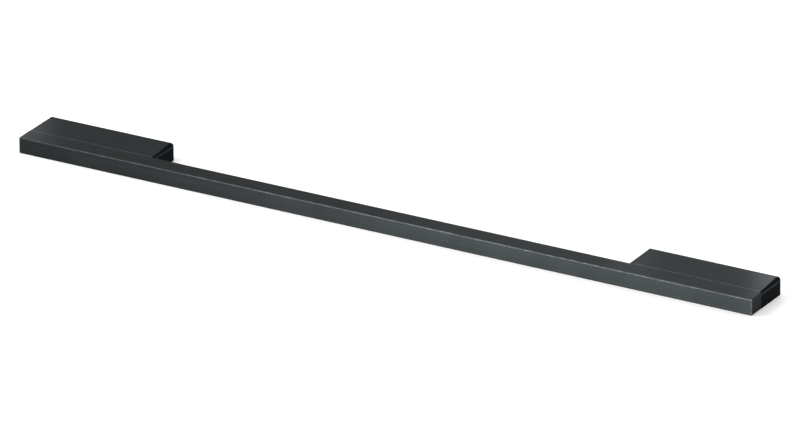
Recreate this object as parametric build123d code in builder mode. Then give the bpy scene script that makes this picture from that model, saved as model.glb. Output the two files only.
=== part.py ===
from build123d import *
import os

os.makedirs("parts", exist_ok=True)

# Whole handle: X along the bar, front face toward -Y, door plane toward +Y, underside at Z 0
length = 595.0
depth = 42.8
front_height = 12.1
rise = 1.55

# Front bar
bar_depth = 14.3
front_easing = 0.7
end_easing = 0.9
seam_easing = 0.35

# Feet: shells that are open below
foot_length = 104.4
web = 2.5
flange = 2.6
plate_underside = 10.7
rear_easing = 0.6
inner_bend = 2.0

# Caps on the ends of the feet: thicker toward the door, with a rounded top as wide as they are thick
cap_at_joint = 1.4
cap_at_door = 2.85
cap_easing = 0.3
cap_skirt = 6.5
cap_wall = 1.6

# Mounting blocks inside the feet, with bosses for M4 screws that come through the door
block_length = 80.0
block_foot = 1.2
boss_radius = 3.8
boss_height = 5.6
boss_spacing = 64.0
thread_radius = 2.0
door_thread_depth = 12.0

# M4 screws that pull block, foot and bar together
screw_height = 5.6
screw_spacing = 38.0
screw_length = 14.0
head_radius = 3.5
head_length = 4.0
clearance_radius = 2.2
access_radius = 4.0
web_to_head = 5.0
bar_thread_depth = 9.5

y_front = -depth / 2
y_door = depth / 2
y_joint = y_front + bar_depth
y_channel = y_joint + web
y_flange = y_door - flange
y_head = y_channel + web_to_head
channel_depth = y_flange - y_channel
x_left = -length / 2
x_inner = x_left + foot_length
x_foot = x_left + foot_length / 2
screw_xs = [x_foot - screw_spacing / 2, x_foot + screw_spacing / 2]
boss_xs = [x_foot - boss_spacing / 2, x_foot + boss_spacing / 2]


def top_at(y):
    """Height of the sloping top at a depth."""
    return front_height + rise * (y - y_front) / depth


def toward_door(x, y, z):
    """A place whose local Z axis points to the door."""
    return Location((x, y, z), (-90, 0, 0))


def corner_waste(y, radius):
    """What a round-over of this radius takes off the top of the left outer cap at one depth."""
    top = top_at(y)
    with BuildSketch(Plane((x_left, y, top), x_dir=(1, 0, 0), z_dir=(0, -1, 0))) as waste:
        with BuildLine():
            Polyline((radius, 0), (radius, 1), (-1, 1), (-1, -radius), (0, -radius))
            RadiusArc((0, -radius), (radius, 0), radius)
        make_face()
    return waste.sketch


# Solid bar, its front arrises softly rounded and its rear arrises just broken at the seams
with BuildPart() as bar:
    with BuildSketch(Plane.YZ.offset(x_left)) as bar_profile:
        with BuildLine():
            Polyline(
                (y_front, 0),
                (y_joint, 0),
                (y_joint, top_at(y_joint)),
                (y_front, front_height),
                close=True,
            )
        make_face()
        fillet(bar_profile.vertices().sort_by(Axis.X)[:2], front_easing)
        fillet(bar_profile.vertices().sort_by(Axis.X)[-2:], seam_easing)
    extrude(amount=length)
    fillet(bar.faces().filter_by(Axis.X).edges(), end_easing)
    with Locations([toward_door(side * x, y_joint, screw_height) for x in screw_xs for side in (1, -1)]):
        Hole(thread_radius, bar_thread_depth)

# Outline that the feet and their caps share, and the channel in the feet
with BuildSketch(Plane.YZ.offset(x_left)) as foot_outline:
    with BuildLine():
        Polyline(
            (y_joint, 0),
            (y_door, 0),
            (y_door, top_at(y_door)),
            (y_joint, top_at(y_joint)),
            close=True,
        )
    make_face()
    fillet(foot_outline.vertices().sort_by(Axis.Y)[-1], rear_easing)
    fillet(foot_outline.vertices().group_by(Axis.X)[0], seam_easing)

with BuildSketch(Plane.YZ.offset(x_left)) as channel:
    with Locations((y_channel, 0)):
        Rectangle(channel_depth, plate_underside, align=(Align.MIN, Align.MIN))
    fillet(channel.vertices().group_by(Axis.Y)[-1], inner_bend)

# Where a cap lies, seen from above
with BuildSketch() as cap_plan:
    with BuildLine():
        Polyline(
            (x_left, y_joint),
            (x_left + cap_at_joint, y_joint),
            (x_left + cap_at_door, y_door),
            (x_left, y_door),
            close=True,
        )
    make_face()
cap_plans = [cap_plan.sketch, mirror(cap_plan.sketch, about=Plane.YZ.offset(x_foot))]

# Left foot: top plate, front web against the bar and rear flange against the door
with BuildPart() as left_foot:
    extrude(foot_outline.sketch, amount=foot_length)
    extrude(channel.sketch, amount=foot_length, mode=Mode.SUBTRACT)
    # Both ends are cut back to make room for the caps
    for plan in cap_plans:
        extrude(plan, amount=2 * front_height, mode=Mode.SUBTRACT)
    # Notches that let the bosses of the block in from below
    with BuildSketch(Plane.XZ.offset(-y_door)):
        with Locations([(x, boss_height) for x in boss_xs]):
            Circle(boss_radius)
            Rectangle(2 * boss_radius, boss_height, align=(Align.CENTER, Align.MAX))
    extrude(amount=flange, mode=Mode.SUBTRACT)
    # Screw holes in the web, and access holes for the screw heads in the flange
    with Locations([toward_door(x, y_channel, screw_height) for x in screw_xs]):
        Hole(clearance_radius, web)
    with Locations([toward_door(x, y_door, screw_height) for x in screw_xs]):
        Hole(access_radius, flange)

with BuildPart() as right_foot:
    mirror(left_foot.part, about=Plane.YZ)

# Outer cap of the left foot: a plate that closes the whole end, with a skirt that grips the channel
with BuildPart() as left_outer_cap:
    extrude(foot_outline.sketch, amount=cap_at_door)
    extrude(cap_plan.sketch, amount=2 * front_height, mode=Mode.INTERSECT)
    end_edges = left_outer_cap.faces().sort_by(Axis.X)[0].edges()
    chamfer(end_edges.filter_by(Axis.Z) + end_edges.sort_by(Axis.Z)[:1], cap_easing)
    # The top rolls over by a radius that grows toward the door
    add(corner_waste(y_joint, cap_at_joint))
    add(corner_waste(y_door, cap_at_door))
    loft(ruled=True, mode=Mode.SUBTRACT)
    with BuildSketch(Plane.YZ.offset(x_left + cap_at_joint)) as skirt_outline:
        add(channel.sketch_local)
        with Locations((y_channel + cap_wall, 0)):
            Rectangle(
                channel_depth - 2 * cap_wall,
                plate_underside - cap_wall,
                align=(Align.MIN, Align.MIN),
                mode=Mode.SUBTRACT,
            )
    extrude(amount=cap_skirt)

with BuildPart() as left_inner_cap:
    mirror(left_outer_cap.part, about=Plane.YZ.offset(x_foot))

with BuildPart() as right_inner_cap:
    mirror(left_inner_cap.part, about=Plane.YZ)

with BuildPart() as right_outer_cap:
    mirror(left_outer_cap.part, about=Plane.YZ)

# Cast block that fills the channel behind the bar
with BuildPart() as left_mounting_block:
    with Locations((x_foot, (y_channel + y_flange) / 2, block_foot)):
        Box(
            block_length,
            channel_depth,
            plate_underside - block_foot,
            align=(Align.CENTER, Align.CENTER, Align.MIN),
        )
    fillet(left_mounting_block.edges().filter_by(Axis.X).group_by(Axis.Z)[-1], inner_bend)
    fillet(left_mounting_block.edges().filter_by(Axis.Z), 1.5)
    with Locations([toward_door(x, y_flange, boss_height) for x in boss_xs]):
        Cylinder(boss_radius, flange, align=(Align.CENTER, Align.CENTER, Align.MIN))
    # Pocket from below between the two screws
    with BuildSketch(Plane.XY.offset(block_foot)):
        with Locations((x_foot, (y_channel + y_flange) / 2)):
            RectangleRounded(screw_spacing - 14, channel_depth - 8, 3)
    extrude(amount=6, mode=Mode.SUBTRACT)
    with Locations([toward_door(x, y_door, boss_height) for x in boss_xs]):
        Hole(thread_radius, door_thread_depth)
    with Locations([toward_door(x, y_flange, screw_height) for x in screw_xs]):
        CounterBoreHole(clearance_radius, access_radius, y_flange - y_head, channel_depth)

with BuildPart() as right_mounting_block:
    mirror(left_mounting_block.part, about=Plane.YZ)

# Socket screw: head against the block, shank through block and web into the bar
with BuildPart() as left_outer_screw:
    with Locations(toward_door(screw_xs[0], y_head, screw_height)):
        Cylinder(head_radius, head_length, align=(Align.CENTER, Align.CENTER, Align.MIN))
        Cylinder(thread_radius, screw_length, align=(Align.CENTER, Align.CENTER, Align.MAX))
    chamfer(left_outer_screw.edges().filter_by(GeomType.CIRCLE).sort_by(Axis.Y)[0], 0.5)
    chamfer(left_outer_screw.edges().filter_by(GeomType.CIRCLE).sort_by(Axis.Y)[-1], 0.3)
    with BuildSketch(Plane(origin=(screw_xs[0], y_head + head_length, screw_height), z_dir=(0, 1, 0))):
        RegularPolygon(1.5, 6, major_radius=False)
    extrude(amount=-2.2, mode=Mode.SUBTRACT)

with BuildPart() as left_inner_screw:
    mirror(left_outer_screw.part, about=Plane.YZ.offset(x_foot))

with BuildPart() as right_inner_screw:
    mirror(left_inner_screw.part, about=Plane.YZ)

with BuildPart() as right_outer_screw:
    mirror(left_outer_screw.part, about=Plane.YZ)

bar.part.label = "bar"
left_foot.part.label = "left_foot"
right_foot.part.label = "right_foot"
left_outer_cap.part.label = "left_outer_cap"
left_inner_cap.part.label = "left_inner_cap"
right_inner_cap.part.label = "right_inner_cap"
right_outer_cap.part.label = "right_outer_cap"
left_mounting_block.part.label = "left_mounting_block"
right_mounting_block.part.label = "right_mounting_block"
left_outer_screw.part.label = "left_outer_screw"
left_inner_screw.part.label = "left_inner_screw"
right_inner_screw.part.label = "right_inner_screw"
right_outer_screw.part.label = "right_outer_screw"

export_step(bar.part, "parts/bar.step")
export_step(left_foot.part, "parts/left_foot.step")
export_step(right_foot.part, "parts/right_foot.step")
export_step(left_outer_cap.part, "parts/left_outer_cap.step")
export_step(left_inner_cap.part, "parts/left_inner_cap.step")
export_step(right_inner_cap.part, "parts/right_inner_cap.step")
export_step(right_outer_cap.part, "parts/right_outer_cap.step")
export_step(left_mounting_block.part, "parts/left_mounting_block.step")
export_step(right_mounting_block.part, "parts/right_mounting_block.step")
export_step(left_outer_screw.part, "parts/left_outer_screw.step")
export_step(left_inner_screw.part, "parts/left_inner_screw.step")
export_step(right_inner_screw.part, "parts/right_inner_screw.step")
export_step(right_outer_screw.part, "parts/right_outer_screw.step")
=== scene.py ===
import math

import bpy
from mathutils import Matrix, Vector

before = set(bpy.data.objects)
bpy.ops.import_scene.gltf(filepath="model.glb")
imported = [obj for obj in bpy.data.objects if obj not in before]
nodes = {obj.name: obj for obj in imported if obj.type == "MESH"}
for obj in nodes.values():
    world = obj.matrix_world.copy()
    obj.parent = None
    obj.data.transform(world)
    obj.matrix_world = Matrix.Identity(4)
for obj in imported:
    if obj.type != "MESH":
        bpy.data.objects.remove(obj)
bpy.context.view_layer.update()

MM = 0.001
handle_end = 297.5 * MM
bar_front = -21.4 * MM
foot_inner_end = 193.1 * MM


# Colours and nodes

def linear(hex_code):
    """sRGB hex code to the linear colour that Blender works in."""
    parts = [int(hex_code[i:i + 2], 16) / 255 for i in (1, 3, 5)]
    return [c / 12.92 if c <= 0.04045 else ((c + 0.055) / 1.055) ** 2.4 for c in parts] + [1.0]


def add_node(tree, kind, links=None, values=None, **settings):
    """Adds one node: settings are its properties, values its sockets' numbers, links what feeds them."""
    node = tree.nodes.new(kind)
    for name, value in settings.items():
        setattr(node, name, value)
    for name, value in (values or {}).items():
        node.inputs[name].default_value = value
    for name, socket in (links or {}).items():
        tree.links.new(socket, node.inputs[name])
    return node


def empty_material(name):
    """A material with no nodes but its output."""
    material = bpy.data.materials.new(name)
    material.use_nodes = True
    material.node_tree.nodes.clear()
    return material, material.node_tree


def nearness_to_arrises(tree, place, arrises, reach):
    """One on the given arrises and nothing at this reach: each is a direction to ignore and a point."""
    distances = []
    for flatten, point in arrises:
        flat = add_node(
            tree, "ShaderNodeVectorMath", {0: place}, {1: flatten}, operation="MULTIPLY",
        ).outputs["Vector"]
        distances.append(add_node(
            tree, "ShaderNodeVectorMath", {0: flat}, {1: point}, operation="DISTANCE",
        ).outputs["Value"])
    nearest = distances[0]
    for distance in distances[1:]:
        nearest = add_node(
            tree, "ShaderNodeMath", {0: nearest, 1: distance}, operation="MINIMUM",
        ).outputs[0]
    return add_node(
        tree, "ShaderNodeMapRange", {"Value": nearest},
        {"From Min": 0.3 * reach, "From Max": reach, "To Min": 1.0, "To Max": 0.0},
    ).outputs["Result"]


def anodised_aluminium(name, dark, light, painted_highlight):
    """Extruded aluminium, bead blasted and anodised black: a satin sheen that is broken by fine blasting
    grain, with faint die lines along the extrusion and a slightly uneven dye. Some arrises carry a painted
    highlight, partly edge wear from hands and cloths: lighter and smoother, each group to a colour of its
    own."""
    material, tree = empty_material(name)
    place = add_node(tree, "ShaderNodeTexCoord").outputs["Object"]
    # blasting grain is about 0.1 mm, drawn at 0.5 mm so that it shows
    grain = add_node(
        tree, "ShaderNodeTexNoise", {"Vector": place},
        {"Scale": 1 / (0.5 * MM), "Detail": 3.0, "Roughness": 0.6},
    ).outputs["Fac"]
    # die lines run the length of the bar, a millimetre or so apart
    stretched = add_node(
        tree, "ShaderNodeMapping", {"Vector": place}, {"Scale": (4, 1 / (1.2 * MM), 1 / (1.2 * MM))},
    ).outputs["Vector"]
    die_lines = add_node(
        tree, "ShaderNodeTexNoise", {"Vector": stretched}, {"Scale": 1.0, "Detail": 2.0},
    ).outputs["Fac"]
    # the dye bath leaves clouds a few centimetres wide
    clouds = add_node(
        tree, "ShaderNodeTexNoise", {"Vector": place}, {"Scale": 1 / (35 * MM), "Detail": 2.0},
    ).outputs["Fac"]
    dye = add_node(tree, "ShaderNodeMath", {0: grain, 1: clouds}, operation="ADD").outputs[0]
    dye = add_node(tree, "ShaderNodeMath", {0: dye, 1: die_lines}, operation="ADD").outputs[0]
    dye = add_node(
        tree, "ShaderNodeMapRange", {"Value": dye}, {"From Min": 1.1, "From Max": 1.9},
    ).outputs["Result"]
    colour = add_node(
        tree, "ShaderNodeMix", {"Factor": dye}, {"A": linear(dark), "B": linear(light)},
        data_type="RGBA",
    ).outputs["Result"]
    gloss = add_node(
        tree, "ShaderNodeMapRange", {"Value": grain},
        {"From Min": 0.3, "From Max": 0.7, "To Min": 0.38, "To Max": 0.46},
    ).outputs["Result"]
    # the painted highlight on the arrises, partly hand wear, is broken into patches about 6 mm long
    patches = add_node(
        tree, "ShaderNodeTexNoise", {"Vector": place}, {"Scale": 1 / (6 * MM), "Detail": 1.0},
    ).outputs["Fac"]
    patches = add_node(
        tree, "ShaderNodeMapRange", {"Value": patches},
        {"From Min": 0.35, "From Max": 0.6, "To Min": 0.45, "To Max": 1.0},
    ).outputs["Result"]
    # arrises within this reach are painted lighter: a painted highlight, partly edge wear
    highlight_reach = 0.9 * MM
    for arrises, highlight_colour in painted_highlight:
        near = nearness_to_arrises(tree, place, arrises, highlight_reach)
        near = add_node(tree, "ShaderNodeMath", {0: near, 1: patches}, operation="MULTIPLY").outputs[0]
        # mixes in the arris's painted highlight colour
        colour = add_node(
            tree, "ShaderNodeMix", {"Factor": near, "A": colour}, {"B": linear(highlight_colour)}, data_type="RGBA",
        ).outputs["Result"]
        gloss = add_node(
            tree, "ShaderNodeMapRange", {"Value": near, "To Min": gloss}, {"To Max": 0.3},
        ).outputs["Result"]
    relief = add_node(tree, "ShaderNodeMath", {0: grain, 1: die_lines}, operation="ADD").outputs[0]
    bump = add_node(
        tree, "ShaderNodeBump", {"Height": relief}, {"Strength": 0.12, "Distance": 0.02 * MM},
    ).outputs["Normal"]
    shader = add_node(
        tree, "ShaderNodeBsdfPrincipled",
        {"Base Color": colour, "Roughness": gloss, "Normal": bump},
        {"Metallic": 1.0, "Specular Tint": linear("#cccccc")},
    )
    add_node(tree, "ShaderNodeOutputMaterial", {"Surface": shader.outputs["BSDF"]})
    return material


def moulded_nylon(arrises, reach):
    """Injection moulded black nylon from a spark eroded tool: dull, with a pebbled grain, and a painted
    highlight: a line a little lighter where the top rolls over into the end."""
    material, tree = empty_material("moulded_black_nylon")
    place = add_node(tree, "ShaderNodeTexCoord").outputs["Object"]
    # spark grain of 0.4 mm
    pebbles = add_node(
        tree, "ShaderNodeTexVoronoi", {"Vector": place}, {"Scale": 1 / (0.4 * MM)}, feature="SMOOTH_F1",
    ).outputs["Distance"]
    colour = add_node(
        tree, "ShaderNodeMix", {"Factor": pebbles}, {"A": linear("#0a0c0f"), "B": linear("#101317")},
        data_type="RGBA",
    ).outputs["Result"]
    # painted highlight: a lighter line where the top rolls over into the end
    painted_highlight = nearness_to_arrises(tree, place, arrises, reach)
    colour = add_node(
        tree, "ShaderNodeMix", {"Factor": painted_highlight, "A": colour}, {"B": linear("#2d3133")},
        data_type="RGBA",
    ).outputs["Result"]
    gloss = add_node(
        tree, "ShaderNodeMapRange", {"Value": pebbles}, {"To Min": 0.52, "To Max": 0.72},
    ).outputs["Result"]
    bump = add_node(
        tree, "ShaderNodeBump", {"Height": pebbles}, {"Strength": 0.5, "Distance": 0.08 * MM},
    ).outputs["Normal"]
    shader = add_node(
        tree, "ShaderNodeBsdfPrincipled",
        {"Base Color": colour, "Roughness": gloss, "Normal": bump},
        {"IOR": 1.53, "Specular IOR Level": 0.01},
    )
    add_node(tree, "ShaderNodeOutputMaterial", {"Surface": shader.outputs["BSDF"]})
    return material


def die_cast_aluminium():
    """Pressure die cast aluminium, left as cast: pale grey, with a dull flowed skin and small pits."""
    material, tree = empty_material("die_cast_aluminium")
    place = add_node(tree, "ShaderNodeTexCoord").outputs["Object"]
    # the metal's flow leaves marks about 6 mm wide
    flow = add_node(
        tree, "ShaderNodeTexNoise", {"Vector": place},
        {"Scale": 1 / (6 * MM), "Detail": 4.0, "Distortion": 1.2},
    ).outputs["Fac"]
    # pits of 0.3 mm
    pits = add_node(
        tree, "ShaderNodeTexNoise", {"Vector": place}, {"Scale": 1 / (0.6 * MM), "Detail": 2.0},
    ).outputs["Fac"]
    colour = add_node(
        tree, "ShaderNodeMix", {"Factor": flow}, {"A": linear("#8d9092"), "B": linear("#b9bbbc")},
        data_type="RGBA",
    )
    gloss = add_node(
        tree, "ShaderNodeMapRange", {"Value": flow}, {"To Min": 0.38, "To Max": 0.62},
    ).outputs["Result"]
    bump = add_node(
        tree, "ShaderNodeBump", {"Height": pits}, {"Strength": 0.3, "Distance": 0.06 * MM},
    ).outputs["Normal"]
    shader = add_node(
        tree, "ShaderNodeBsdfPrincipled",
        {"Base Color": colour.outputs["Result"], "Roughness": gloss, "Normal": bump},
        {"Metallic": 1.0},
    )
    add_node(tree, "ShaderNodeOutputMaterial", {"Surface": shader.outputs["BSDF"]})
    return material


def zinc_plated_steel():
    """Turned steel with a thin bright zinc plating: clean, faintly yellow, with rings from the lathe."""
    material, tree = empty_material("zinc_plated_steel")
    place = add_node(tree, "ShaderNodeTexCoord").outputs["Object"]
    # turning marks 0.25 mm apart across the screw's axis
    rings = add_node(
        tree, "ShaderNodeTexWave", {"Vector": place},
        {"Scale": 1 / (20 * 0.25 * MM), "Distortion": 0.6}, bands_direction="Y",
    ).outputs["Fac"]
    tone = add_node(
        tree, "ShaderNodeTexNoise", {"Vector": place}, {"Scale": 1 / (3 * MM)},
    ).outputs["Fac"]
    colour = add_node(
        tree, "ShaderNodeMix", {"Factor": tone}, {"A": linear("#a9a79c"), "B": linear("#c4c3bb")},
        data_type="RGBA",
    )
    gloss = add_node(
        tree, "ShaderNodeMapRange", {"Value": rings}, {"To Min": 0.24, "To Max": 0.36},
    ).outputs["Result"]
    bump = add_node(
        tree, "ShaderNodeBump", {"Height": rings}, {"Strength": 0.1, "Distance": 0.01 * MM},
    ).outputs["Normal"]
    shader = add_node(
        tree, "ShaderNodeBsdfPrincipled",
        {"Base Color": colour.outputs["Result"], "Roughness": gloss, "Normal": bump},
        {"Metallic": 1.0},
    )
    add_node(tree, "ShaderNodeOutputMaterial", {"Surface": shader.outputs["BSDF"]})
    return material


def finish_node(name, material):
    """Gives a CAD node its finish."""
    mesh = nodes[name].data
    mesh.materials.clear()
    mesh.materials.append(material)


# The arrises run along X, up, or back, each at the place in the two other directions where its painted
# highlight is strongest
along, upright, backward = (0, 1, 1), (1, 1, 0), (1, 0, 1)
seam = (along, (0, -6.5 * MM, 12.7 * MM))
front_top = (along, (0, -21.1 * MM, 12.15 * MM))
front_ends = [(upright, (side * (handle_end - 0.4 * MM), bar_front, 0)) for side in (-1, 1)]
cap_tops = [
    (backward, (side * end, 0, 11.0 * MM)) for side in (-1, 1) for end in (foot_inner_end, handle_end)
]
# Lighter arris colours: on the front arrises a painted highlight, partly edge wear; on the seams a painted
# highlight
anodised_bar = anodised_aluminium(
    "black_anodised_bar", "#242728", "#2c2f30",
    [([front_top], "#464a4b"), ([seam], "#3b3f40"), (front_ends, "#4c5153")],
)
anodised_foot = anodised_aluminium(
    "black_anodised_foot", "#242829", "#2c3031", [([seam], "#3b3f40")],
)
# the caps' lighter line at the roll-over is a painted highlight
nylon = moulded_nylon(cap_tops, 1.2 * MM)
casting = die_cast_aluminium()
zinc = zinc_plated_steel()

finish_node("bar", anodised_bar)
for side in ("left", "right"):
    finish_node(side + "_foot", anodised_foot)
    finish_node(side + "_outer_cap", nylon)
    finish_node(side + "_inner_cap", nylon)
    finish_node(side + "_mounting_block", casting)
    finish_node(side + "_outer_screw", zinc)
    finish_node(side + "_inner_screw", zinc)


# Floor, light and camera

def shows_background(tree):
    """One for rays that show the background: the camera's own, and those seen in metal or through glass."""
    rays = add_node(tree, "ShaderNodeLightPath").outputs
    mirrored = add_node(
        tree, "ShaderNodeMath", {0: rays["Is Glossy Ray"], 1: rays["Is Transmission Ray"]},
        operation="MAXIMUM",
    ).outputs[0]
    return add_node(
        tree, "ShaderNodeMath", {0: rays["Is Camera Ray"], 1: mirrored}, operation="MAXIMUM",
    ).outputs[0]


floor_mesh = bpy.data.meshes.new("floor")
half = 30.0
floor_mesh.from_pydata(
    [(-half, -half, 0), (half, -half, 0), (half, half, 0), (-half, half, 0)], [], [(0, 1, 2, 3)]
)
floor = bpy.data.objects.new("floor", floor_mesh)
bpy.context.scene.collection.objects.link(floor)
# just clear of the underside, so that the two don't share a plane
floor.location.z = -0.05 * MM

pale, pale_tree = empty_material("pale_floor")
floor_shader = add_node(pale_tree, "ShaderNodeBsdfDiffuse", None, {"Color": linear("#f0f0ef")})
lift = add_node(
    pale_tree, "ShaderNodeMath", {0: shows_background(pale_tree)}, {1: 0.25}, operation="MULTIPLY",
).outputs[0]
floor_lift = add_node(pale_tree, "ShaderNodeEmission", {"Strength": lift}, {"Color": (1, 1, 1, 1)})
floor_surface = add_node(
    pale_tree, "ShaderNodeAddShader", {0: floor_shader.outputs["BSDF"], 1: floor_lift.outputs["Emission"]}
)
add_node(pale_tree, "ShaderNodeOutputMaterial", {"Surface": floor_surface.outputs["Shader"]})
floor_mesh.materials.append(pale)

world = bpy.data.worlds.new("studio")
bpy.context.scene.world = world
world.use_nodes = True
world.node_tree.nodes.clear()
strength = add_node(
    world.node_tree, "ShaderNodeMapRange", {"Value": shows_background(world.node_tree)},
    {"To Min": 0.8, "To Max": 1.0},
).outputs["Result"]
sky = add_node(world.node_tree, "ShaderNodeBackground", {"Strength": strength}, {"Color": (1, 1, 1, 1)})
add_node(world.node_tree, "ShaderNodeOutputWorld", {"Surface": sky.outputs["Background"]})


def soft_lamp(name, place, target, width, height, power):
    """A rectangular softbox at a place, turned to a target."""
    lamp = bpy.data.lights.new(name, "AREA")
    lamp.shape = "RECTANGLE"
    lamp.size = width
    lamp.size_y = height
    lamp.energy = power
    holder = bpy.data.objects.new(name, lamp)
    bpy.context.scene.collection.objects.link(holder)
    holder.location = place
    holder.rotation_mode = "QUATERNION"
    holder.rotation_quaternion = (Vector(target) - Vector(place)).to_track_quat("-Z", "Y")
    holder.visible_camera = False


# Far behind, for the satin sheen on the tops
soft_lamp("behind", (-0.65, 1.9, 0.95), (0.15, 0, 0), 0.8, 0.7, 3)
# A strip no higher than the bar, so that it lights the front face and leaves no glare on the tops
soft_lamp("front_right", (0.13, -0.48, 0.0075), (0.18, 0, 0.0075), 0.75, 0.013, 8.2)
# High at the left, for the line of light along the bar's front arris
soft_lamp("high_left", (-0.62, -0.5, 1.0), (0, 0, 0), 0.5, 0.4, 6)
# Faint and near, for the sheen at the ends of the feet: each stands back from a place on the tops, to
# the left and up, in the direction that the tops mirror
top_height = 0.013
for name, x, y, back, power in (
    ("left_end", -0.318, 0.008, 0.09, 0.015),
    ("right_foot", 0.19, 0, 0.06, 0.0025),
    ("right_end", 0.31, 0, 0.09, 0.012),
):
    place = (x - 0.46 * back, y + 0.8 * back, top_height + 0.39 * back)
    soft_lamp(name, place, (x, y, top_height), 0.03, 0.03, power)

# Camera fitted to the handle's edges in the photo: 6.61 m away, a long lens
camera_data = bpy.data.cameras.new("camera")
camera = bpy.data.objects.new("camera", camera_data)
bpy.context.scene.collection.objects.link(camera)
bpy.context.scene.camera = camera
camera_data.sensor_width = 36.0
camera_data.lens = 421.0
camera_data.clip_start = 0.1
camera_data.clip_end = 200.0
camera_data.dof.use_dof = False

yaw = math.radians(29.67)
pitch = math.radians(22.86)
right = Vector((math.cos(yaw), math.sin(yaw), 0))
ahead = Vector((-math.sin(yaw) * math.cos(pitch), math.cos(yaw) * math.cos(pitch), -math.sin(pitch)))
up = right.cross(ahead)
aim = Vector((0, -1.4, 6.0)) * MM
distance = 6.607
eye = aim + 5.70 * MM * right + 1.057 * MM * up - distance * ahead
camera.matrix_world = Matrix.Translation(eye) @ Matrix((right, up, -ahead)).transposed().to_4x4()

bpy.context.scene.view_settings.view_transform = "Standard"
